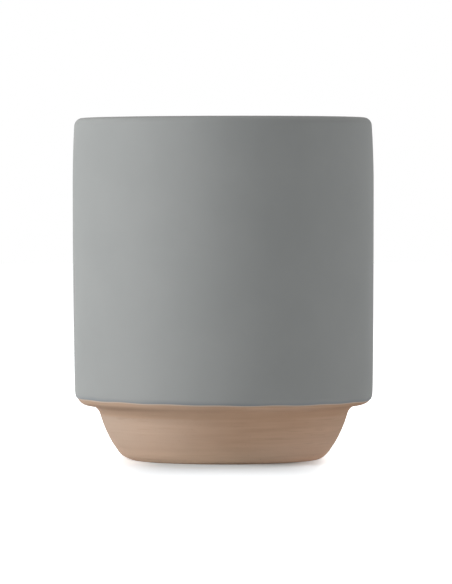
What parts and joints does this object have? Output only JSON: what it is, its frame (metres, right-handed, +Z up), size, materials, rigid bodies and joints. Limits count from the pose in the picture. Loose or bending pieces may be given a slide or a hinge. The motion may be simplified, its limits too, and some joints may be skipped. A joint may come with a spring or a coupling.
{
  "type": "stackable mug",
  "caption": "Straight-sided stoneware mug without a handle, with a rounded shoulder and a narrow bare-clay foot that nests in the rim of another mug.",
  "frame": {"origin": "centre of the foot, on the surface that the mug stands on", "axes": "+Z up along the mug's axis of revolution, towards the rim; the mug is round, so X and Y are only the picture's right and back"},
  "size_m": [0.08, 0.08, 0.0907],
  "materials": {
    "bare_stoneware": "unglazed, dry, faintly ringed by turning",
    "matt_grey_glaze": "matt",
    "liner_glaze": "satin"
  },
  "bodies": {
    "root": {"stoneware_body": "bare_stoneware", "outer_glaze": "matt_grey_glaze", "liner_glaze": "liner_glaze"}
  },
  "joints": []
}
